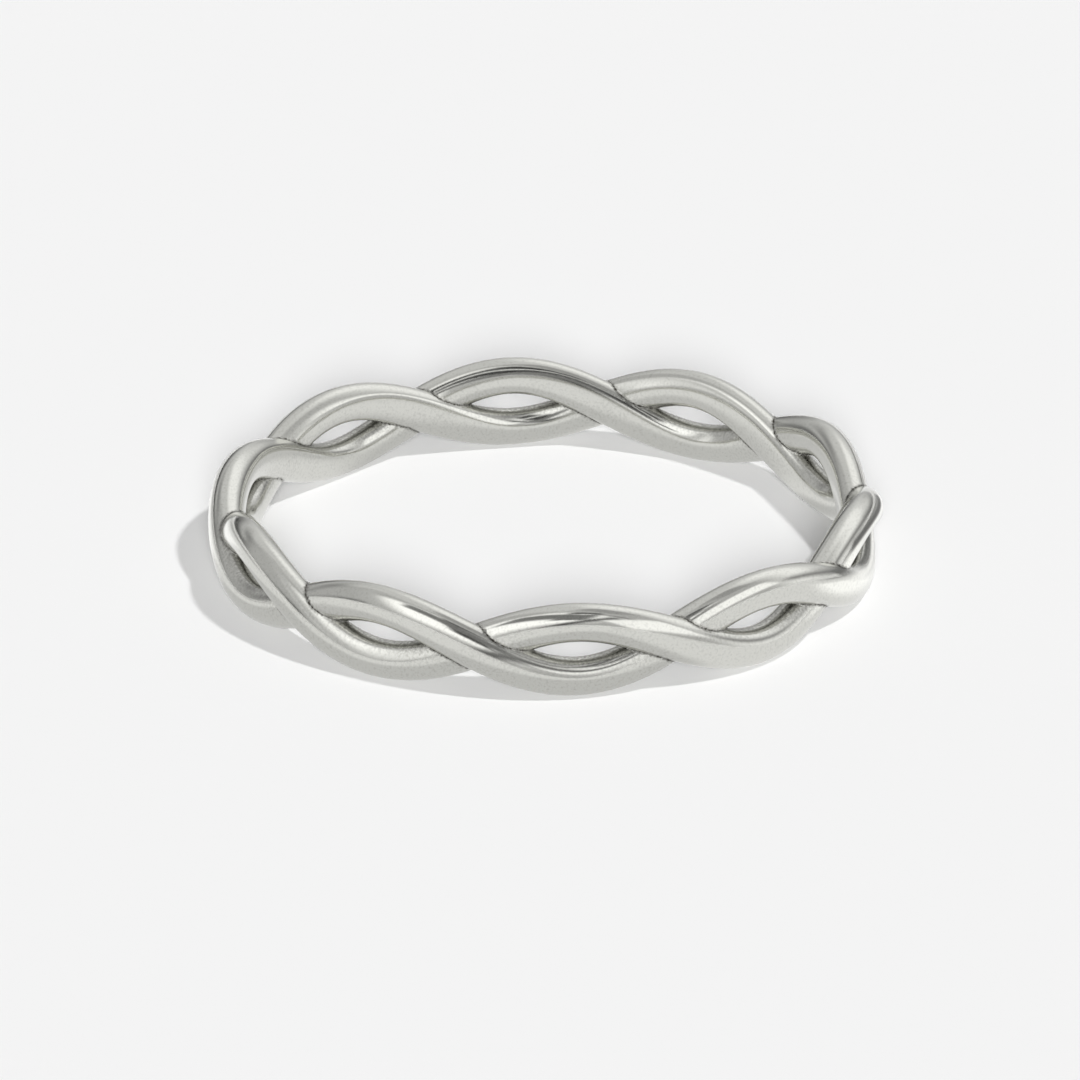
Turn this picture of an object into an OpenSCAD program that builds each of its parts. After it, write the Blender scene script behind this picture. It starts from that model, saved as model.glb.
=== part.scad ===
// Twist ring: two equal strands laid round each other like a two-strand rope and joined
// wherever they cross, so that the band is one solid with a row of pointed oval openings.
// Millimetres. The finger axis is Z, the origin is on it, and the band rests on the plane Z = 0.

/* [Finger hole] */
// Inside diameter of the ring
finger_d = 17.3; // [14:0.1:22]
// Depth that the polished finger hole takes off the innermost crowns of the strands
polish = 0.1; // [0.06:0.01:0.14]

/* [Strands] */
// Thickness of a strand, measured outwards from the finger
strand_thick = 1.1; // [0.9:0.02:1.4]
// Width of a strand across its run where the two strands cross
wide_at_crossing = 1.26; // [1:0.02:1.5]
// Width of a strand across its run beside an opening, where it is a little narrower
wide_at_opening = 1.12; // [0.9:0.02:1.4]

/* [Twist] */
// Full turns that each strand makes on its way round the finger
turns = 5; // [3:1:8]
// Distance that a strand's middle climbs above and drops below the middle of the band
climb = 0.83; // [0.7:0.01:1.1]
// Distance that a strand's middle moves out from and in towards the finger
sway = 0.15; // [0.1:0.01:0.3]
// Lay of the twist: the strands on the outside slant as the middle of an S or of a Z
lay = "S"; // [S, Z]
// Turn angle of the first strand where it passes the +X axis
first_turn = 150; // [0:1:359]

/* [Smoothness] */
// Sections of each strand on its way round the finger
section_count = 160; // [120:20:180]
// Sides of a section
section_sides = 16; // [12:4:16]

/* [Hidden] */

strand_count = 2;
lay_sign = lay == "S" ? -1 : 1;
// Radius of the circle that both strands wind about
middle_r = finger_d / 2 - polish + sway + strand_thick / 2;
band_height = 2 * climb + wide_at_opening;
// The finger hole is cut past both faces of the band by this much
cut_past = 1;
hole_sides = 120;

function unit(v) = v / norm(v);

// Turn angle of a strand at an angle round the finger
function turn_at(around, strand) = turns * around + first_turn + strand * 360 / strand_count;

// Width of a strand across its run at a turn angle
function strand_wide(turn) =
    wide_at_opening + (wide_at_crossing - wide_at_opening) * pow(cos(turn), 2);

// Middle of a strand at an angle round the finger
function strand_middle(around, strand) =
    let (turn = turn_at(around, strand), r = middle_r + sway * cos(turn))
    [r * cos(around), r * sin(around), lay_sign * climb * sin(turn)];

// Direction in which a strand runs there, the derivative of its middle
function strand_run(around, strand) =
    let (turn = turn_at(around, strand),
         r = middle_r + sway * cos(turn),
         r_slope = -sway * turns * sin(turn),
         z_slope = lay_sign * climb * turns * cos(turn))
    unit([r_slope * cos(around) - r * sin(around),
          r_slope * sin(around) + r * cos(around),
          z_slope]);

// Oval section of a strand, square to its run, with one axis pointing away from the finger
function strand_section(around, strand) =
    let (middle = strand_middle(around, strand),
         run = strand_run(around, strand),
         radial = [cos(around), sin(around), 0],
         outwards = unit(radial - (radial * run) * run),
         across = cross(run, outwards),
         half_wide = strand_wide(turn_at(around, strand)) / 2)
    [for (side = [0 : section_sides - 1])
        let (a = side * 360 / section_sides)
        middle + outwards * strand_thick / 2 * cos(a) + across * half_wide * sin(a)];

// One strand: its sections joined into a closed tube round the finger
module strand(number) {
    points = [for (i = [0 : section_count - 1])
        each strand_section(i * 360 / section_count, number)];
    faces = [for (i = [0 : section_count - 1], side = [0 : section_sides - 1])
        let (here = i * section_sides,
             ahead = (i + 1) % section_count * section_sides,
             next = (side + 1) % section_sides)
        each [[here + side, ahead + side, ahead + next],
              [here + side, ahead + next, here + next]]];
    polyhedron(points = points, faces = faces, convexity = 12);
}

// Both strands as one solid, brought to the exact height that their facets fall just short of
module joined_strands() {
    resize([0, 0, band_height])
        union() {
            for (number = [0 : strand_count - 1]) strand(number);
        }
}

module finger_hole() {
    translate([0, 0, -cut_past])
        cylinder(d = finger_d, h = band_height + 2 * cut_past, $fn = hole_sides);
}

module twisted_band() {
    color([0.80, 0.80, 0.77])
        difference() {
            translate([0, 0, band_height / 2]) joined_strands();
            finger_hole();
        }
}

twisted_band();
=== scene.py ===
"""Looks of the twist ring: a finger ring of two polished white metal strands laid round each other.

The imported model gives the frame: metres, +Z up along the finger axis, and the band rests on the
plane Z = 0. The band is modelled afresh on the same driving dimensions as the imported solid, with
fine sections, soft joins where the strands run into each other and a hand-polished finish.
"""

import logging
import math
from collections.abc import Mapping, Sequence
from dataclasses import dataclass, field
from enum import Enum
from typing import Any

import bmesh
import bpy
import numpy as np
from mathutils import Matrix, Vector

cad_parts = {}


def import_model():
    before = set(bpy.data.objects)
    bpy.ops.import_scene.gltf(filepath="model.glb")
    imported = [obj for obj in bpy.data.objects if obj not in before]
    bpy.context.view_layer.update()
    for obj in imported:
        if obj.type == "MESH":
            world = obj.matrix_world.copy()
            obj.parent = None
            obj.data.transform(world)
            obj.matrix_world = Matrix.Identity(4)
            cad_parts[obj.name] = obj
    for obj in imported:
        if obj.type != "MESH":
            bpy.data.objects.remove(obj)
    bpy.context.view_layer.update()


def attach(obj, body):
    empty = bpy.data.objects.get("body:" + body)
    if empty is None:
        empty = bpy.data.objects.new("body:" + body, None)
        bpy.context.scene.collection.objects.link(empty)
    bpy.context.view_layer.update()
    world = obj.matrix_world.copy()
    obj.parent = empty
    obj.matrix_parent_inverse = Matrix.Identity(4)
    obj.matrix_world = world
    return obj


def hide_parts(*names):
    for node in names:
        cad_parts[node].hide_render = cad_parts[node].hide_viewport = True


Points = np.ndarray
Values = np.ndarray
Triple = tuple[float, float, float]
Colour = Triple

MM = 0.001
# Middle of a pattern or a fade that runs from 0 to 1.
MIDDLE = 0.5
# Keeps a division away from zero.
LEAST_DIVISOR = 1e-9
WHITE: Colour = (1.0, 1.0, 1.0)
BLACK: Colour = (0.0, 0.0, 0.0)

log = logging.getLogger("twist_ring")


class Lay(Enum):
    """Which way the strands slant on the outside of the band, as the middle of an S or of a Z."""

    S = -1
    Z = 1


class MixSocket(Enum):
    """Places of a Mix node's colour sockets, whose names its other sockets share."""

    FIRST = 6
    SECOND = 7
    RESULT = 2


def dot(first: Points, second: Points) -> Values:
    """Dot product of each pair of rows."""
    return np.einsum("ij,ij->i", first, second)


def unit(rows: Points) -> Points:
    """Each row brought to length one."""
    return rows / np.linalg.norm(rows, axis=1)[:, None]


def smooth_lower(first: Values, second: Values, blend: float) -> Values:
    """Lower of two depths, rounded off where they are alike.

    Args:
        first: One depth for each point.
        second: The other depth for each point.
        blend: Difference between the two below which they run into each other, in metres.

    Returns:
        The blended depth for each point.
    """
    share = np.maximum(blend - np.abs(first - second), 0) / blend
    return np.minimum(first, second) - share**2 * blend / 4


class Shade:
    """A shader value on which Python's operators add Math nodes."""

    def __init__(self, bench: "Bench", socket: bpy.types.NodeSocket) -> None:
        """Wraps an output socket of a node on the bench."""
        self.bench = bench
        self.socket = socket

    def math(self, operation: str, *values: "Shade | float") -> "Shade":
        """Adds one Math node.

        Args:
            operation: The node's operation.
            values: What its inputs take, in order.

        Returns:
            The node's result.
        """
        sockets = dict(enumerate(values))
        return self.bench.value("ShaderNodeMath", {"operation": operation}, sockets)

    def __add__(self, other: "Shade | float") -> "Shade":
        """self + other."""
        return self.math("ADD", self, other)

    def __radd__(self, other: float) -> "Shade":
        """other + self."""
        return self.math("ADD", other, self)

    def __sub__(self, other: "Shade | float") -> "Shade":
        """self - other."""
        return self.math("SUBTRACT", self, other)

    def __rsub__(self, other: float) -> "Shade":
        """other - self."""
        return self.math("SUBTRACT", other, self)

    def __mul__(self, other: "Shade | float") -> "Shade":
        """self * other."""
        return self.math("MULTIPLY", self, other)

    def __rmul__(self, other: float) -> "Shade":
        """other * self."""
        return self.math("MULTIPLY", other, self)

    def __truediv__(self, other: "Shade | float") -> "Shade":
        """self / other."""
        return self.math("DIVIDE", self, other)

    def __rtruediv__(self, other: float) -> "Shade":
        """other / self."""
        return self.math("DIVIDE", other, self)

    def __abs__(self) -> "Shade":
        """The value without its sign."""
        return self.math("ABSOLUTE", self)

    def clamped(self) -> "Shade":
        """The value held between 0 and 1."""
        return self.math("MINIMUM", self.math("MAXIMUM", self, 0.0), 1.0)


class Bench:
    """The node tree of one finish, on which its nodes are set out."""

    def __init__(self, tree: bpy.types.NodeTree) -> None:
        """Clears the tree."""
        self.tree = tree
        tree.nodes.clear()

    def node(
        self,
        kind: str,
        settings: Mapping[str, Any] | None = None,
        sockets: Mapping[str | int, Any] | None = None,
    ) -> bpy.types.Node:
        """Adds a node of any kind.

        Args:
            kind: The node's type.
            settings: Its own settings, which are set first.
            sockets: A number, a colour, a Shade or a socket for each input, by name or place.

        Returns:
            The node.
        """
        node = self.tree.nodes.new(kind)
        for name, setting in (settings or {}).items():
            setattr(node, name, setting)
        for place, value in (sockets or {}).items():
            self._feed(node.inputs[place], value)
        return node

    def value(
        self,
        kind: str,
        settings: Mapping[str, Any] | None = None,
        sockets: Mapping[str | int, Any] | None = None,
        output: str | int = 0,
    ) -> Shade:
        """Adds a node and takes one of its outputs.

        Args:
            kind: The node's type.
            settings: Its own settings.
            sockets: What its inputs take.
            output: The output's name or place.

        Returns:
            That output.
        """
        return Shade(self, self.node(kind, settings, sockets).outputs[output])

    def mixed(self, share: Shade, first: Any, second: Any) -> Shade:
        """Adds a Mix node for colours.

        Args:
            share: Share of the second colour.
            first: The first colour.
            second: The second colour.

        Returns:
            The mixed colour.
        """
        sockets = {0: share, MixSocket.FIRST.value: first, MixSocket.SECOND.value: second}
        return self.value("ShaderNodeMix", {"data_type": "RGBA"}, sockets, MixSocket.RESULT.value)

    def end(self, surface: bpy.types.Node, output: str = "ShaderNodeOutputMaterial") -> None:
        """Ends the tree in a shader.

        Args:
            surface: The shader's node.
            output: Type of the node that takes it.
        """
        self.node(output, sockets={"Surface": surface.outputs[0]})

    def _feed(self, socket: bpy.types.NodeSocket, value: Any) -> None:
        """Links a Shade or a socket to an input, or sets the input's own value.

        Args:
            socket: The input.
            value: What it takes.
        """
        if isinstance(value, Shade):
            value = value.socket
        if isinstance(value, bpy.types.NodeSocket):
            self.tree.links.new(value, socket)
        elif isinstance(value, tuple) and len(value) < len(socket.default_value):
            socket.default_value = (*value, 1.0)
        else:
            socket.default_value = value


def new_material(name: str) -> tuple[bpy.types.Material, Bench]:
    """Makes an empty material.

    Args:
        name: What it is called.

    Returns:
        The material, and the bench on which its nodes are set out.
    """
    material = bpy.data.materials.new(name)
    material.use_nodes = True
    return material, Bench(material.node_tree)


def put_in_scene(name: str, data: bpy.types.ID) -> bpy.types.Object:
    """Makes an object and puts it in the scene.

    Args:
        name: What it is called.
        data: Its mesh, light or camera.

    Returns:
        The object.
    """
    thing = bpy.data.objects.new(name, data)
    bpy.context.scene.collection.objects.link(thing)
    return thing


def rectangle(name: str, half_width: float, half_height: float) -> bpy.types.Mesh:
    """Flat rectangle about the origin.

    Args:
        name: What it is called.
        half_width: Half its size along X.
        half_height: Half its size along Y.

    Returns:
        The mesh.
    """
    mesh = bpy.data.meshes.new(name)
    signs = [(-1, -1), (1, -1), (1, 1), (-1, 1)]
    corners = [(across * half_width, up * half_height, 0) for across, up in signs]
    mesh.from_pydata(corners, [], [(0, 1, 2, 3)])
    return mesh


def vertex_places(mesh: bpy.types.Mesh) -> Points:
    """Places of a mesh's vertices.

    Args:
        mesh: The mesh.

    Returns:
        A row for each vertex.
    """
    flat = np.zeros(len(mesh.vertices) * 3)
    mesh.vertices.foreach_get("co", flat)
    return flat.reshape(-1, 3)


@dataclass(frozen=True)
class WhiteMetal:
    """Polished white gold: a warm grey mirror with fine polishing lines, and matt creases and openings
    darkened with painted shade.

    Attributes:
        crown: Colour of the polished crowns.
        crease: Painted shade deep in the creases and on the walls of the openings, a near-black colour.
        polished: Roughness of the crowns.
        unpolished: Roughness deep in the creases.
        uneven: How much the clouds and the grain each change the roughness.
        clouds_per_metre: Scale of the slow ripples and smudges.
        grains_per_metre: Scale of the fine grain.
        strokes_per_mm: Scale of the polishing lines along the run and through the section.
        cloud_layers: Finer layers on the slow clouds.
        grain_layers: Finer layers on the grain.
        stroke_layers: Finer layers on the polishing lines.
        smudge: How much the slow clouds darken the crowns.
        speckle: How much the fine grain darkens the crowns.
        shade_mottle: How much more the fine grain mottles that painted shade in the creases and on the walls
            of the openings.
        ripple_height: Height of the slow ripples that hand polishing leaves, in metres.
        grain_height: Height of the fine grain, in metres.
        line_height: Height of the polishing lines, in metres.
    """

    crown: Colour = (0.70, 0.70, 0.66)
    crease: Colour = (0.06, 0.055, 0.045)
    polished: float = 0.14
    unpolished: float = 0.4
    uneven: float = 0.04
    clouds_per_metre: float = 900
    grains_per_metre: float = 14000
    strokes_per_mm: Triple = (0.7, 11.0, 11.0)
    cloud_layers: float = 3
    grain_layers: float = 2
    stroke_layers: float = 2
    smudge: float = 0.10
    speckle: float = 0.48
    shade_mottle: float = 2.0
    ripple_height: float = 0.0016 * MM
    grain_height: float = 0.0004 * MM
    line_height: float = 0.0003 * MM

    def material(self) -> bpy.types.Material:
        """Makes the material.

        Returns:
            The material, which reads the attributes that the band's mesh carries.
        """
        material, bench = new_material("white_metal")
        hollow_shade_and_dullness = bench.value("ShaderNodeAttribute", {"attribute_name": "hollow_shade_and_dullness"}, output="Fac")
        run = bench.value("ShaderNodeAttribute", {"attribute_name": "run"}, output="Vector")
        place = bench.value("ShaderNodeTexCoord", output="Object")
        stroke = bench.value(
            "ShaderNodeVectorMath", {"operation": "MULTIPLY"}, {0: run, 1: self.strokes_per_mm}
        )

        clouds = self._noise(bench, place, self.clouds_per_metre, self.cloud_layers)
        grain = self._noise(bench, place, self.grains_per_metre, self.grain_layers)
        lines = self._noise(bench, stroke, 1, self.stroke_layers)
        smudge = (clouds - MIDDLE) * self.smudge
        smudge = smudge + (grain - MIDDLE) * (self.speckle + hollow_shade_and_dullness * self.shade_mottle)
        # Painted shade: in the creases and on the walls of the openings the colour runs to the near-black
        # crease colour, mottled by the grain; elsewhere the clouds and grain vary it at random.
        colour = bench.mixed((hollow_shade_and_dullness + smudge).clamped(), self.crown, self.crease)
        roughness = self.polished + (clouds - MIDDLE) * self.uneven + (grain - MIDDLE) * self.uneven
        roughness = roughness + hollow_shade_and_dullness * (self.unpolished - self.polished)

        rippled = self._bump(bench, clouds, self.ripple_height)
        grained = self._bump(bench, grain, self.grain_height, rippled)
        lined = self._bump(bench, lines, self.line_height, grained)
        sockets = {"Base Color": colour, "Metallic": 1.0, "Roughness": roughness, "Normal": lined}
        bench.end(bench.node("ShaderNodeBsdfPrincipled", sockets=sockets))
        return material

    @staticmethod
    def _noise(bench: Bench, place: Shade, scale: float, detail: float) -> Shade:
        """A cloudy pattern from 0 to 1.

        Args:
            bench: Where the nodes are set out.
            place: Where on the surface it is looked up.
            scale: Clouds in a unit of length.
            detail: Finer layers on top.

        Returns:
            The pattern.
        """
        sockets = {"Vector": place, "Scale": scale, "Detail": detail}
        return bench.value("ShaderNodeTexNoise", {"noise_dimensions": "3D"}, sockets, "Fac")

    @staticmethod
    def _bump(bench: Bench, height: Shade, depth: float, below: Shade | None = None) -> Shade:
        """Relief of a pattern.

        Args:
            bench: Where the nodes are set out.
            height: The pattern.
            depth: Height of the relief, in metres.
            below: Relief that this one lies on.

        Returns:
            The bent normal.
        """
        sockets = {"Height": height, "Distance": depth, "Strength": 1.0}
        if below is not None:
            sockets["Normal"] = below
        return bench.value("ShaderNodeBump", sockets=sockets)


@dataclass(frozen=True)
class PaleFloor:
    """Matt white card that the ring lies on.

    Attributes:
        colour: Its colour.
        roughness: Its roughness.
    """

    colour: Colour = (0.9, 0.9, 0.9)
    roughness: float = 0.9

    def material(self) -> bpy.types.Material:
        """Makes the material.

        Returns:
            The material.
        """
        material, bench = new_material("pale_floor")
        sockets = {"Base Color": self.colour, "Roughness": self.roughness, "Specular IOR Level": 0.0}
        bench.end(bench.node("ShaderNodeBsdfPrincipled", sockets=sockets))
        return material


@dataclass(frozen=True)
class Strand:
    """One strand, which winds about a circle round the finger.

    Attributes:
        first_turn: Its turn angle where it passes the +X axis, in radians.
        turns: Full turns that it makes on its way round the finger.
        lay: Lay of the twist.
        middle_radius: Radius of the circle that it winds about.
        middle_height: Height of that circle above the floor.
        sway: Distance that its middle moves out from and in towards the finger.
        climb: Distance that its middle climbs above and drops below the circle.
        thick: Thickness, measured outwards from the finger.
        wide_at_crossing: Width across its run where the strands cross.
        wide_at_opening: Width across its run beside an opening.
        flattening: How far polishing flattens its faces towards and away from the finger, as the
            angle in radians that it turns the normals between them and the sides.
        nearest_steps: Steps that find the section that a point lies in.
    """

    first_turn: float
    turns: int
    lay: Lay
    middle_radius: float
    middle_height: float
    sway: float
    climb: float
    thick: float
    wide_at_crossing: float
    wide_at_opening: float
    flattening: float
    nearest_steps: int = 6

    def turn(self, around: Values) -> Values:
        """Turn angle at each angle round the finger."""
        return self.turns * around + self.first_turn

    def middle(self, around: Values) -> Points:
        """Middle of the strand at each angle round the finger.

        Args:
            around: Angles round the finger.

        Returns:
            A point for each angle.
        """
        turn = self.turn(around)
        radius = self.middle_radius + self.sway * np.cos(turn)
        height = self.middle_height + self.lay.value * self.climb * np.sin(turn)
        return np.stack([radius * np.cos(around), radius * np.sin(around), height], 1)

    def slope(self, around: Values) -> Points:
        """Derivative of the middle by the angle round the finger.

        Args:
            around: Angles round the finger.

        Returns:
            A vector along the strand's run for each angle.
        """
        turn = self.turn(around)
        radius = self.middle_radius + self.sway * np.cos(turn)
        radius_slope = -self.sway * self.turns * np.sin(turn)
        height_slope = self.lay.value * self.climb * self.turns * np.cos(turn)
        x_slope = radius_slope * np.cos(around) - radius * np.sin(around)
        y_slope = radius_slope * np.sin(around) + radius * np.cos(around)
        return np.stack([x_slope, y_slope, height_slope], 1)

    def section_axes(self, around: Values) -> tuple[Points, Points]:
        """Directions of the section's thickness and width at each angle round the finger.

        Args:
            around: Angles round the finger.

        Returns:
            The direction away from the finger and the one across the run, both square to the run.
        """
        run = unit(self.slope(around))
        radial = np.stack([np.cos(around), np.sin(around), np.zeros_like(around)], 1)
        outwards = unit(radial - dot(radial, run)[:, None] * run)
        return outwards, np.cross(run, outwards)

    def half_wide(self, around: Values) -> Values:
        """Half the width across the run at each angle round the finger."""
        spread = self.wide_at_crossing - self.wide_at_opening
        return (self.wide_at_opening + spread * np.cos(self.turn(around)) ** 2) / 2

    def nearest(self, points: Points) -> Values:
        """Finds the section that each point lies in.

        Args:
            points: Points near the strand.

        Returns:
            The section's angle round the finger for each point.
        """
        around = np.arctan2(points[:, 1], points[:, 0])
        for _ in range(self.nearest_steps):
            slope = self.slope(around)
            around = around + dot(points - self.middle(around), slope) / dot(slope, slope)
        return around

    def section_place(self, points: Points) -> tuple[Values, Values, Values]:
        """Where each point lies in the section through it.

        Args:
            points: Points near the strand.

        Returns:
            The section's angle round the finger, and how far from its middle the point lies
            outwards and across the run.
        """
        around = self.nearest(points)
        outwards, across = self.section_axes(around)
        away = points - self.middle(around)
        return around, dot(away, outwards), dot(away, across)

    def depth(self, points: Points) -> Values:
        """Distance of each point outside the strand's surface.

        Args:
            points: Points near the strand.

        Returns:
            The distances, negative inside the strand.
        """
        around, out, aside = self.section_place(points)
        half_thick = self.thick / 2
        half_wide = self.half_wide(around)
        out_share = out / half_thick
        across_share = aside / half_wide
        reach = np.hypot(out_share, across_share)
        steepness = np.hypot(out_share / half_thick, across_share / half_wide)
        return reach * (reach - 1) / np.maximum(steepness, LEAST_DIVISOR)

    def flattened(self, points: Points, normals: Points) -> Points:
        """Turns normals away from the strand's sides, as on faces polished a little flatter.

        Args:
            points: Points on the strand.
            normals: Its normals there.

        Returns:
            The turned normals.
        """
        outwards, across = self.section_axes(self.nearest(points))
        tilt = np.arctan2(dot(normals, across), dot(normals, outwards))
        turned = tilt - self.flattening * np.sin(2 * tilt)
        outwards_step = (np.cos(turned) - np.cos(tilt))[:, None]
        across_step = (np.sin(turned) - np.sin(tilt))[:, None]
        return unit(normals + outwards_step * outwards + across_step * across)

    def mesh(self, sections: int, sides: int) -> bpy.types.Mesh:
        """Closed tube of the strand.

        Args:
            sections: Sections on the way round the finger.
            sides: Sides of a section.

        Returns:
            The mesh.
        """
        around = np.repeat(np.linspace(0, 2 * math.pi, sections, endpoint=False), sides)
        side = np.tile(np.linspace(0, 2 * math.pi, sides, endpoint=False), sections)
        outwards, across = self.section_axes(around)
        out_reach = (self.thick / 2 * np.cos(side))[:, None]
        across_reach = (self.half_wide(around) * np.sin(side))[:, None]
        points = self.middle(around) + outwards * out_reach + across * across_reach
        here = np.arange(sections * sides).reshape(sections, sides)
        ahead = np.roll(here, -1, axis=0)
        corners = [here, np.roll(here, -1, axis=1), np.roll(ahead, -1, axis=1), ahead]
        mesh = bpy.data.meshes.new("strand")
        mesh.from_pydata(points.tolist(), [], np.stack(corners, 2).reshape(-1, 4).tolist())
        return mesh


@dataclass
class TwistedBand:
    """The band: two strands laid round each other, run together where they cross and polished.

    Attributes:
        finger_radius: Radius of the finger hole.
        polish: Depth that the polished finger hole takes off the strands' innermost crowns.
        strand_thick: Thickness of a strand, measured outwards from the finger.
        wide_at_crossing: Width of a strand across its run where the strands cross.
        wide_at_opening: Width of a strand across its run beside an opening.
        turns: Full turns that each strand makes on its way round the finger.
        climb: Distance that a strand's middle climbs above and drops below the band's middle.
        sway: Distance that a strand's middle moves out from and in towards the finger.
        lay: Lay of the twist.
        flattening: How far polishing flattens a strand's outer and inner faces, in radians.
        first_turn: Turn angle of the first strand where it passes the +X axis, in radians.
        join_blend: Reach of the metal that rounds off the corner where the strands meet.
        hole_blend: Reach of the rounding along the edges that polishing the hole leaves.
        groove_reach: Depth below which a point between the strands counts as a crease, with painted shade
            and dullness.
        opening_depth: How far the painted shade and dullness on the walls of the openings reach towards and
            from the finger.
        opening_height: How far they reach up and down.
        opening_shade_and_dullness: How dark with painted shade and how dull those walls are beside the
            creases.
        sections: Sections of a strand on its way round the finger.
        sides: Sides of a section.
        metal: The finish.
        strand_count: How many strands there are.
        settle_steps: Steps that move the mesh onto the finished surface.
        probe: Distance over which the depth's gradient is taken.
        longest_step: Farthest that a point moves in one settling step.
    """

    finger_radius: float = 8.65 * MM
    polish: float = 0.1 * MM
    strand_thick: float = 1.1 * MM
    wide_at_crossing: float = 1.26 * MM
    wide_at_opening: float = 1.12 * MM
    turns: int = 5
    climb: float = 0.83 * MM
    sway: float = 0.15 * MM
    lay: Lay = Lay.S
    flattening: float = 0.12
    first_turn: float = math.radians(150)
    join_blend: float = 0.05 * MM
    hole_blend: float = 0.16 * MM
    groove_reach: float = 0.036 * MM
    opening_depth: float = 0.35 * MM
    opening_height: float = 0.4 * MM
    opening_shade_and_dullness: float = 0.5
    sections: int = 640
    sides: int = 56
    metal: WhiteMetal = field(default_factory=WhiteMetal)
    strand_count: int = 2
    settle_steps: int = 6
    probe: float = 0.0005 * MM
    longest_step: float = 0.05 * MM

    @property
    def height(self) -> float:
        """Height of the band."""
        return 2 * self.climb + self.wide_at_opening

    @property
    def middle_radius(self) -> float:
        """Radius of the circle that the strands wind about."""
        return self.finger_radius - self.polish + self.sway + self.strand_thick / 2

    def strands(self) -> list[Strand]:
        """The strands, an even part of a turn apart.

        Returns:
            A strand for each.
        """
        return [
            Strand(
                first_turn=self.first_turn + number * 2 * math.pi / self.strand_count,
                turns=self.turns,
                lay=self.lay,
                middle_radius=self.middle_radius,
                middle_height=self.height / 2,
                sway=self.sway,
                climb=self.climb,
                thick=self.strand_thick,
                wide_at_crossing=self.wide_at_crossing,
                wide_at_opening=self.wide_at_opening,
                flattening=self.flattening,
            )
            for number in range(self.strand_count)
        ]

    def depth(self, points: Points) -> Values:
        """Distance of each point outside the finished surface.

        Args:
            points: Points near the band.

        Returns:
            The distances, negative inside the metal.
        """
        first, second = (strand.depth(points) for strand in self.strands())
        joined = smooth_lower(first, second, self.join_blend)
        hole = np.hypot(points[:, 0], points[:, 1]) - self.finger_radius
        return -smooth_lower(-joined, hole, self.hole_blend)

    def steepest(self, points: Points) -> Points:
        """Gradient of the depth at each point.

        Args:
            points: Points near the band.

        Returns:
            A vector away from the metal for each point.
        """
        steps = np.eye(3) * self.probe
        rises = [self.depth(points + step) - self.depth(points - step) for step in steps]
        return np.stack(rises, 1) / (2 * self.probe)

    def settled(self, points: Points) -> Points:
        """Moves points onto the finished surface.

        Args:
            points: Points near it.

        Returns:
            The moved points.
        """
        for _ in range(self.settle_steps):
            gradient = self.steepest(points)
            step = np.clip(self.depth(points), -self.longest_step, self.longest_step)
            points = points - gradient * (step / dot(gradient, gradient))[:, None]
        return points

    def hollow_shade_and_dullness(self, points: Points) -> Values:
        """How deep in a crease, or in an opening between the strands, each point lies, which weights the
        painted shade and the dullness there.

        Args:
            points: Points on the finished surface.

        Returns:
            One in the bottom of a crease and none on the crowns.
        """
        first, second = (strand.depth(points) for strand in self.strands())
        crease = np.exp(-((np.maximum(first, second) / self.groove_reach) ** 2))
        inset = (np.hypot(points[:, 0], points[:, 1]) - self.middle_radius) / self.opening_depth
        level = (points[:, 2] - self.height / 2) / self.opening_height
        opening = np.exp(-(inset**2) - level**2)
        return np.maximum(crease, self.opening_shade_and_dullness * opening)

    def run_place(self, points: Points) -> Points:
        """Place of each point on the strand that it belongs to, which the polishing lines follow.

        Args:
            points: Points on the finished surface.

        Returns:
            Millimetres round the finger, mirrored on the far side so that they meet there, and
            millimetres from the strand's middle outwards and across its run.
        """
        rows = []
        for strand in self.strands():
            around, out, aside = strand.section_place(points)
            round_trip = np.abs(np.arctan2(np.sin(around), np.cos(around)))
            rows.append(np.stack([round_trip * self.middle_radius, out, aside], 1) / MM)
        return self.by_strand(points, rows)

    def by_strand(self, points: Points, rows: Sequence[Points]) -> Points:
        """Picks a row for each point from those of the strand that it belongs to.

        Args:
            points: Points on the finished surface.
            rows: Rows for the first strand and for the second.

        Returns:
            The picked rows.
        """
        first, second = (strand.depth(points) for strand in self.strands())
        return np.where((first <= second)[:, None], rows[0], rows[1])

    def normals(self, points: Points) -> Points:
        """Normals of the polished surface at points on it."""
        plain = unit(self.steepest(points))
        return self.by_strand(points, [strand.flattened(points, plain) for strand in self.strands()])

    def joined_mesh(self) -> bpy.types.Mesh:
        """Joins the strands into one closed body, before it is settled on the finished surface.

        Returns:
            The mesh.
        """
        tubes = [put_in_scene("strand", strand.mesh(self.sections, self.sides)) for strand in self.strands()]
        join = tubes[0].modifiers.new("join", "BOOLEAN")
        join.operation = "UNION"
        join.solver = "MANIFOLD"
        join.object = tubes[1]
        evaluated = tubes[0].evaluated_get(bpy.context.evaluated_depsgraph_get())
        mesh = bpy.data.meshes.new_from_object(evaluated)
        for tube in tubes:
            bpy.data.objects.remove(tube)
        return mesh

    def build(self) -> bpy.types.Object:
        """Makes the band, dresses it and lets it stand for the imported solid.

        Returns:
            The band.
        """
        mesh = self.joined_mesh()
        points = self.settled(vertex_places(mesh))
        mesh.vertices.foreach_set("co", points.ravel())
        mesh.shade_smooth()
        mesh.normals_split_custom_set_from_vertices(self.normals(points).tolist())
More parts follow.
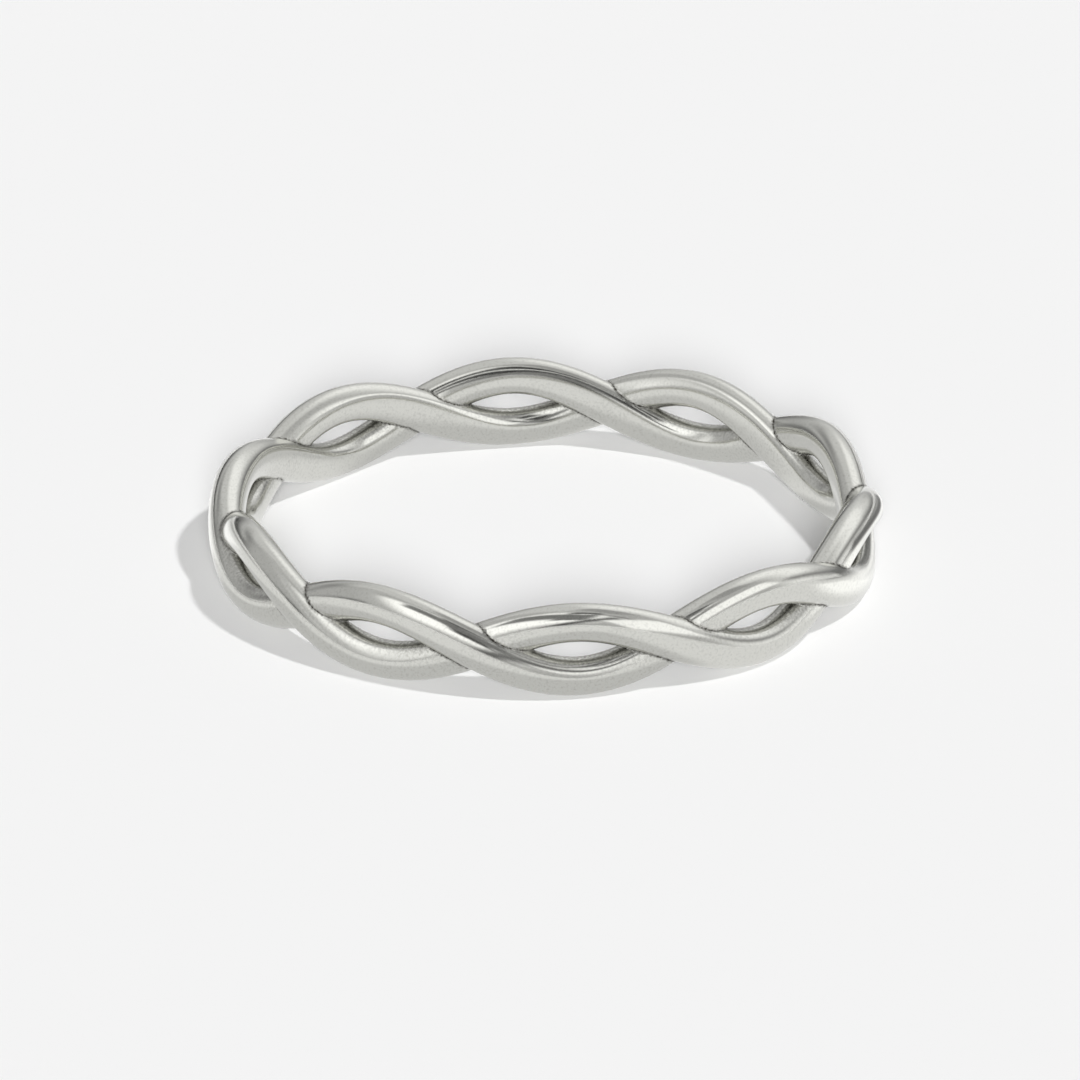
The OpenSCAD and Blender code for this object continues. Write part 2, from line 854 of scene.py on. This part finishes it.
        # Painted shade and dullness: weight of the near-black crease colour and of the extra roughness in
        # the creases and openings.
        hollow_shade_and_dullness = mesh.attributes.new("hollow_shade_and_dullness", "FLOAT", "POINT")
        hollow_shade_and_dullness.data.foreach_set("value", self.hollow_shade_and_dullness(points))
        run = mesh.attributes.new("run", "FLOAT_VECTOR", "POINT")
        run.data.foreach_set("vector", self.run_place(points).ravel())
        band = put_in_scene("polished_band", mesh)
        mesh.materials.clear()
        mesh.materials.append(self.metal.material())
        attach(band, "root")
        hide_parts("twisted_band")
        return band


@dataclass
class StudioFloor:
    """The pale floor that the ring lies on.

    Attributes:
        width: Its length and width.
        finish: Its finish.
    """

    width: float = 3.0
    finish: PaleFloor = field(default_factory=PaleFloor)

    def build(self) -> bpy.types.Object:
        """Makes the floor.

        Returns:
            The floor.
        """
        mesh = rectangle("floor", self.width / 2, self.width / 2)
        mesh.materials.append(self.finish.material())
        floor = put_in_scene("floor", mesh)
        return floor


@dataclass(frozen=True)
class Stand:
    """Where a lamp or a card stands round the ring. It faces the middle of the band.

    Attributes:
        azimuth: Direction, in degrees from the camera towards the right of the picture.
        elevation: Height above the floor, in degrees.
        distance: Distance from the middle of the band.
        roll: Turn about the line to the ring, in degrees, its right side up.
    """

    azimuth: float
    elevation: float
    distance: float
    roll: float = 0.0

    def axes(self) -> Matrix:
        """Directions of a thing that stands there.

        Returns:
            A matrix whose columns are its right, its top and away from the ring.
        """
        azimuth = math.radians(self.azimuth)
        elevation = math.radians(self.elevation)
        level = math.cos(elevation)
        away = Vector((level * math.sin(azimuth), -level * math.cos(azimuth), math.sin(elevation)))
        right = Vector((math.cos(azimuth), math.sin(azimuth), 0))
        facing = Matrix((right, away.cross(right), away)).transposed()
        return facing @ Matrix.Rotation(math.radians(self.roll), 3, "Z")

    def place(self, thing: bpy.types.Object, target: Vector) -> None:
        """Puts a thing there.

        Args:
            thing: What is placed. Its face looks along its own -Z.
            target: Where it faces.
        """
        axes = self.axes()
        spot = target + axes.col[2] * self.distance
        thing.matrix_world = Matrix.LocRotScale(spot, axes.to_quaternion(), None)


@dataclass(frozen=True)
class SoftLamp:
    """A far soft lamp, which lights the floor evenly.

    Attributes:
        name: What it is called.
        stand: Where it stands.
        spread: How wide it looks from the ring, in degrees.
        strength: Light that it gives a surface facing it.
    """

    name: str
    stand: Stand
    spread: float
    strength: float

    def build(self, target: Vector) -> bpy.types.Object:
        """Makes the lamp.

        Args:
            target: What it lights.

        Returns:
            The lamp.
        """
        light = bpy.data.lights.new(self.name, "SUN")
        light.angle = math.radians(self.spread)
        light.energy = self.strength
        lamp = put_in_scene(self.name, light)
        lamp.visible_glossy = False
        self.stand.place(lamp, target)
        return lamp


@dataclass(frozen=True)
class TentCard:
    """A card of the light tent, which shows in the polished metal only.

    Attributes:
        name: What it is called.
        stand: Where it stands.
        half_width: Half its width, as a share of its distance.
        half_height: Half its height, as a share of its distance.
        soft: Width of its soft edge, as a share of its distance.
        brightness: How bright it is.
    """

    name: str
    stand: Stand
    half_width: float
    half_height: float
    soft: float
    brightness: float

    def material(self) -> bpy.types.Material:
        """Makes the glowing material, which fades out towards the edges.

        Returns:
            The material.
        """
        material, bench = new_material(self.name)
        place = bench.value("ShaderNodeTexCoord", output="Object")
        axes = bench.node("ShaderNodeSeparateXYZ", sockets={"Vector": place}).outputs
        distance = self.stand.distance
        edge = self.soft * distance
        cover = self._fade(Shade(bench, axes["X"]), self.half_width * distance, edge)
        cover = cover * self._fade(Shade(bench, axes["Y"]), self.half_height * distance, edge)
        glow = bench.node("ShaderNodeEmission", sockets={"Color": WHITE, "Strength": self.brightness})
        clear = bench.node("ShaderNodeBsdfTransparent")
        sockets = {0: cover, 1: clear.outputs[0], 2: glow.outputs[0]}
        bench.end(bench.node("ShaderNodeMixShader", sockets=sockets))
        return material

    @staticmethod
    def _fade(place: Shade, half: float, edge: float) -> Shade:
        """Cover of the card along one of its sides.

        Args:
            place: Distance from the card's middle.
            half: Half the card's size along that side.
            edge: Width of the soft edge.

        Returns:
            One on the card and none past its edge.
        """
        share = ((half - abs(place)) / edge + MIDDLE).clamped()
        return share * share * (3.0 - share * 2.0)

    def build(self, target: Vector) -> bpy.types.Object:
        """Makes the card.

        Args:
            target: What it faces.

        Returns:
            The card.
        """
        wide = (self.half_width + self.soft / 2) * self.stand.distance
        high = (self.half_height + self.soft / 2) * self.stand.distance
        mesh = rectangle(self.name, wide, high)
        mesh.materials.append(self.material())
        card = put_in_scene(self.name, mesh)
        self.stand.place(card, target)
        show_in_metal_only(card)
        return card


def soft_cover(place: Values, half: float, edge: float) -> Values:
    """Cover of a patch along one of its sides.

    Args:
        place: Distance of each point from the patch's middle.
        half: Half the patch's size along that side.
        edge: Width of its soft edge.

    Returns:
        One on the patch and none past its edge.
    """
    share = np.clip((half - np.abs(place)) / edge + MIDDLE, 0, 1)
    return share**2 * (3 - 2 * share)


@dataclass(frozen=True)
class TentPanel:
    """A soft-edged panel in the cloth of the light tent.

    Attributes:
        name: What it is called.
        azimuth: Direction of its middle, in degrees from the camera towards the right.
        elevation: Height of its middle above the floor, in degrees.
        roll: Turn about the line to the ring, in degrees, its right side up.
        half_width: Half its width, as a share of its distance.
        half_height: Half its height, as a share of its distance.
        soft: Width of its soft edge, as a share of its distance.
        brightness: How bright it is.
    """

    name: str
    azimuth: float
    elevation: float
    roll: float
    half_width: float
    half_height: float
    soft: float
    brightness: float

    def cover(self, directions: Points) -> Values:
        """How much of the cloth the panel covers.

        Args:
            directions: Directions from the ring, of any length.

        Returns:
            The cover in each of them, from 0 to 1.
        """
        axes = np.array(Stand(self.azimuth, self.elevation, 1.0, self.roll).axes())
        across, up, ahead = (directions @ axes).T
        ahead_only = np.maximum(ahead, LEAST_DIVISOR)
        cover = soft_cover(across / ahead_only, self.half_width, self.soft)
        return cover * soft_cover(up / ahead_only, self.half_height, self.soft) * (ahead > 0)


@dataclass(frozen=True)
class SheetPatch:
    """A soft-edged patch of the sheet under the ring.

    Attributes:
        name: What it is called.
        right: How far its middle lies to the right of the finger axis.
        back: How far its middle lies behind the finger axis.
        turn: Its turn on the floor, in degrees.
        half_width: Half its width.
        half_depth: Half its depth.
        soft: Width of its soft edge.
        brightness: How bright it is.
    """

    name: str
    right: float
    back: float
    turn: float
    half_width: float
    half_depth: float
    soft: float
    brightness: float

    def cover(self, points: Points) -> Values:
        """How much of the sheet the patch covers.

        Args:
            points: Points of the sheet.

        Returns:
            The cover at each of them, from 0 to 1.
        """
        turn = math.radians(self.turn)
        away = points[:, :2] - (self.right, self.back)
        across = away @ (math.cos(turn), math.sin(turn))
        along = away @ (-math.sin(turn), math.cos(turn))
        cover = soft_cover(across, self.half_width, self.soft)
        return cover * soft_cover(along, self.half_depth, self.soft)


def painted(
    mesh: bpy.types.Mesh, ground: float, patches: Sequence[TentPanel | SheetPatch]
) -> bpy.types.Object:
    """Makes a sheet that glows with soft patches on an even ground, seen in the metal only.

    Args:
        mesh: The sheet.
        ground: Brightness between the patches.
        patches: The patches, each over those before it.

    Returns:
        The sheet.
    """
    points = vertex_places(mesh)
    glow = np.full(len(points), ground)
    for patch in patches:
        cover = patch.cover(points)
        glow = glow * (1 - cover) + patch.brightness * cover
    mesh.attributes.new("glow", "FLOAT", "POINT").data.foreach_set("value", glow)
    material, bench = new_material(mesh.name)
    pattern = bench.value("ShaderNodeAttribute", {"attribute_name": "glow"}, output="Fac")
    sockets = {
        "Base Color": BLACK,
        "Specular IOR Level": 0.0,
        "Emission Color": pattern,
        "Emission Strength": 1.0,
    }
    bench.end(bench.node("ShaderNodeBsdfPrincipled", sockets=sockets))
    mesh.materials.append(material)
    sheet = put_in_scene(mesh.name, mesh)
    show_in_metal_only(sheet)
    return sheet


@dataclass
class TentDome:
    """The cloth of the light tent over the ring, which shows in the metal only.

    Attributes:
        radius: Its radius.
        brightness: How bright the plain cloth is.
        panels: Its panels, each over those before it. Studio says where their numbers come from.
        rings: Rings of faces from the bottom to the top.
    """

    radius: float = 3.0
    brightness: float = 0.53
    panels: tuple[TentPanel, ...] = (
        TentPanel("back_grey", 189, 51, 11, 0.48, 1.01, 0.30, 0.72),
        TentPanel("right_back_white", 122, 27, 50, 1.07, 0.49, 0.77, 1.15),
        TentPanel("left_skirt", -123, -13, 11, 1.36, 0.15, 0.30, 0.02),
        TentPanel("left_back_black", -148, 1, -79, 0.53, 0.46, 0.68, 0.02),
        TentPanel("front_left_white", -28, 39, 5, 0.78, 0.56, 0.39, 1.45),
        TentPanel("back_band", 181, 23, -4, 1.21, 0.10, 0.55, 0.77),
        TentPanel("right_skirt", 131, 6, -21, 1.0, 0.10, 0.50, 0.02),
    )
    rings: int = 180

    def build(self) -> bpy.types.Object:
        """Makes the dome.

        Returns:
            The dome.
        """
        shell = bmesh.new()
        bmesh.ops.create_uvsphere(
            shell, u_segments=2 * self.rings, v_segments=self.rings, radius=self.radius
        )
        mesh = bpy.data.meshes.new("tent_dome")
        shell.to_mesh(mesh)
        shell.free()
        return painted(mesh, self.brightness, self.panels)


@dataclass
class BrightSheet:
    """The bright sheet that the metal mirrors in place of the floor round the ring.

    Attributes:
        width: Its length and width.
        lift: How far it lies above the floor.
        brightness: How bright it is between its patches.
        patches: Its patches, each over those before it. Studio says where their numbers come from.
        squares: Squares along each side of its mesh.
    """

    width: float = 60 * MM
    lift: float = 0.005 * MM
    brightness: float = 0.9
    patches: tuple[SheetPatch, ...] = (
        SheetPatch("right_inner", 7.4 * MM, 2.4 * MM, -14, 0.8 * MM, 4.0 * MM, 1.0 * MM, 0.63),
        SheetPatch("front_left", -4.2 * MM, -7.6 * MM, -25, 8.6 * MM, 3.0 * MM, 1.2 * MM, 0.67),
        SheetPatch("back", 0.5 * MM, 7.6 * MM, -5, 6.9 * MM, 1.6 * MM, 1.5 * MM, 0.68),
        SheetPatch("far_left", -25 * MM, 12.5 * MM, -20, 7.5 * MM, 12 * MM, 6 * MM, 0.45),
        SheetPatch("far_right", 25 * MM, 12.5 * MM, 25, 7.5 * MM, 12 * MM, 6 * MM, 0.35),
        SheetPatch("left_rim", -11.8 * MM, 4.4 * MM, 0, 2.0 * MM, 3.8 * MM, 1.5 * MM, 1.2),
        SheetPatch("right_rim", 12.8 * MM, 3.1 * MM, 6, 1.9 * MM, 4.4 * MM, 1.5 * MM, 1.2),
        SheetPatch("right_glare", 12.8 * MM, -2.6 * MM, 0, 2.6 * MM, 2.4 * MM, 2.0 * MM, 1.35),
    )
    squares: int = 200

    def build(self) -> bpy.types.Object:
        """Makes the sheet.

        Returns:
            The sheet.
        """
        grid = bmesh.new()
        bmesh.ops.create_grid(
            grid,
            x_segments=self.squares,
            y_segments=self.squares,
            size=self.width / 2,
            matrix=Matrix.Translation((0, 0, self.lift)),
        )
        mesh = bpy.data.meshes.new("bright_sheet")
        grid.to_mesh(mesh)
        grid.free()
        return painted(mesh, self.brightness, self.patches)


def show_in_metal_only(thing: bpy.types.Object) -> None:
    """Makes a part of the tent seen by reflections alone.

    Args:
        thing: That part of the tent.
    """
    thing.visible_camera = False
    thing.visible_diffuse = False
    thing.visible_shadow = False


@dataclass(frozen=True)
class WhiteRoom:
    """Even white surroundings.

    Attributes:
        brightness: How bright they are.
    """

    brightness: float = 0.265

    def build(self) -> bpy.types.World:
        """Makes the surroundings.

        Returns:
            The world.
        """
        world = bpy.data.worlds.new("white_room")
        world.use_nodes = True
        bench = Bench(world.node_tree)
        light = bench.node("ShaderNodeBackground", sockets={"Color": WHITE, "Strength": self.brightness})
        bench.end(light, "ShaderNodeOutputWorld")
        bpy.context.scene.world = world
        return world


@dataclass(frozen=True)
class PhotoCamera:
    """The camera, at the photograph's angle.

    Attributes:
        elevation: How far it looks down, in degrees.
        distance: Its distance from the middle of the band.
        focal_length: Its focal length, in millimetres.
        sensor_width: Width of its sensor, in millimetres.
        shift_right: How far the view is shifted to the right, as a share of its width.
        shift_up: How far the view is shifted up, as a share of its width.
    """

    elevation: float = 23.4
    distance: float = 251 * MM
    focal_length: float = 284.0
    sensor_width: float = 36.0
    shift_right: float = -0.0056
    shift_up: float = -0.018

    def build(self, target: Vector) -> bpy.types.Object:
        """Makes the camera and takes it into use.

        Args:
            target: Where it looks.

        Returns:
            The camera.
        """
        lens = bpy.data.cameras.new("photo_camera")
        lens.sensor_width = self.sensor_width
        lens.lens = self.focal_length
        lens.shift_x = self.shift_right
        lens.shift_y = self.shift_up
        camera = put_in_scene("photo_camera", lens)
        elevation = math.radians(self.elevation)
        away = Vector((0, -math.cos(elevation), math.sin(elevation)))
        camera.location = target + away * self.distance
        camera.rotation_mode = "QUATERNION"
        camera.rotation_quaternion = (-away).to_track_quat("-Z", "Y")
        bpy.context.scene.camera = camera
        return camera


@dataclass
class Studio:
    """The floor, the lamps, the light tent and the surroundings.

    Nearly all the numbers of the tent's panels, its cards and the sheet's patches were worked out by
    separate programs, which fitted what the metal mirrors to the photograph. They were rounded, and
    some were then changed, most of them brightnesses.

    Attributes:
        floor: The floor.
        sheet: The sheet that the metal mirrors in its place.
        room: The surroundings.
        dome: The tent's cloth.
        lamps: The lamps.
        cards: The tent's cards, the farthest first.
    """

    floor: StudioFloor = field(default_factory=StudioFloor)
    sheet: BrightSheet = field(default_factory=BrightSheet)
    room: WhiteRoom = field(default_factory=WhiteRoom)
    dome: TentDome = field(default_factory=TentDome)
    lamps: tuple[SoftLamp, ...] = (
        SoftLamp("high_right", Stand(60, 60, 1.0), 4, 1.3),
        SoftLamp("low_front", Stand(1, 21, 1.0), 14, 3.35),
    )
    cards: tuple[TentCard, ...] = (
        TentCard("front_strip", Stand(-3, 8, 0.24, 49), 0.91, 0.07, 0.12, 0.02),
        TentCard("high_black", Stand(2, 45, 0.22, 71), 0.39, 0.18, 0.10, 0.02),
        TentCard("right_white", Stand(48, 22, 0.20, 19), 0.51, 0.26, 0.10, 1.3),
        TentCard("overhead_grey", Stand(59, 71, 0.080), 0.16, 0.26, 0.14, 0.38),
        TentCard("high_line", Stand(-4, 49, 0.077, 11), 0.24, 0.04, 0.17, 1.34),
        TentCard("near_line", Stand(18, 42, 0.030, 53), 0.02, 0.34, 0.12, 0.1),
        TentCard("left_grey", Stand(-65, 31, 0.024, 36), 0.14, 0.71, 0.32, 0.59),
        TentCard("near_grey", Stand(-13, 32, 0.020, 70), 0.14, 0.40, 0.10, 0.22),
        TentCard("right_end_line", Stand(90, 2, 0.0107, -4), 0.28, 0.036, 0.047, 0.2),
    )

    def build(self, target: Vector) -> list[bpy.types.Object]:
        """Makes everything round the ring.

        Args:
            target: Middle of the band, which the lamps and cards face.

        Returns:
            All that was made.
        """
        self.room.build()
        return [
            self.floor.build(),
            self.sheet.build(),
            self.dome.build(),
            *(lamp.build(target) for lamp in self.lamps),
            *(card.build(target) for card in self.cards),
        ]


def main() -> None:
    """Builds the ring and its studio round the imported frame."""
    logging.basicConfig(level=logging.INFO, format="%(name)s: %(message)s")
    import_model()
    bpy.context.scene.view_settings.view_transform = "Standard"

    band = TwistedBand()
    piece = band.build()
    log.info("%s: %d faces", piece.name, len(piece.data.polygons))
    target = Vector((0, 0, band.height / 2))
    for thing in Studio().build(target):
        log.info("studio: %s", thing.name)
    camera = PhotoCamera().build(target)
    log.info("camera: %s", camera.name)


if __name__ == "__main__":
    main()
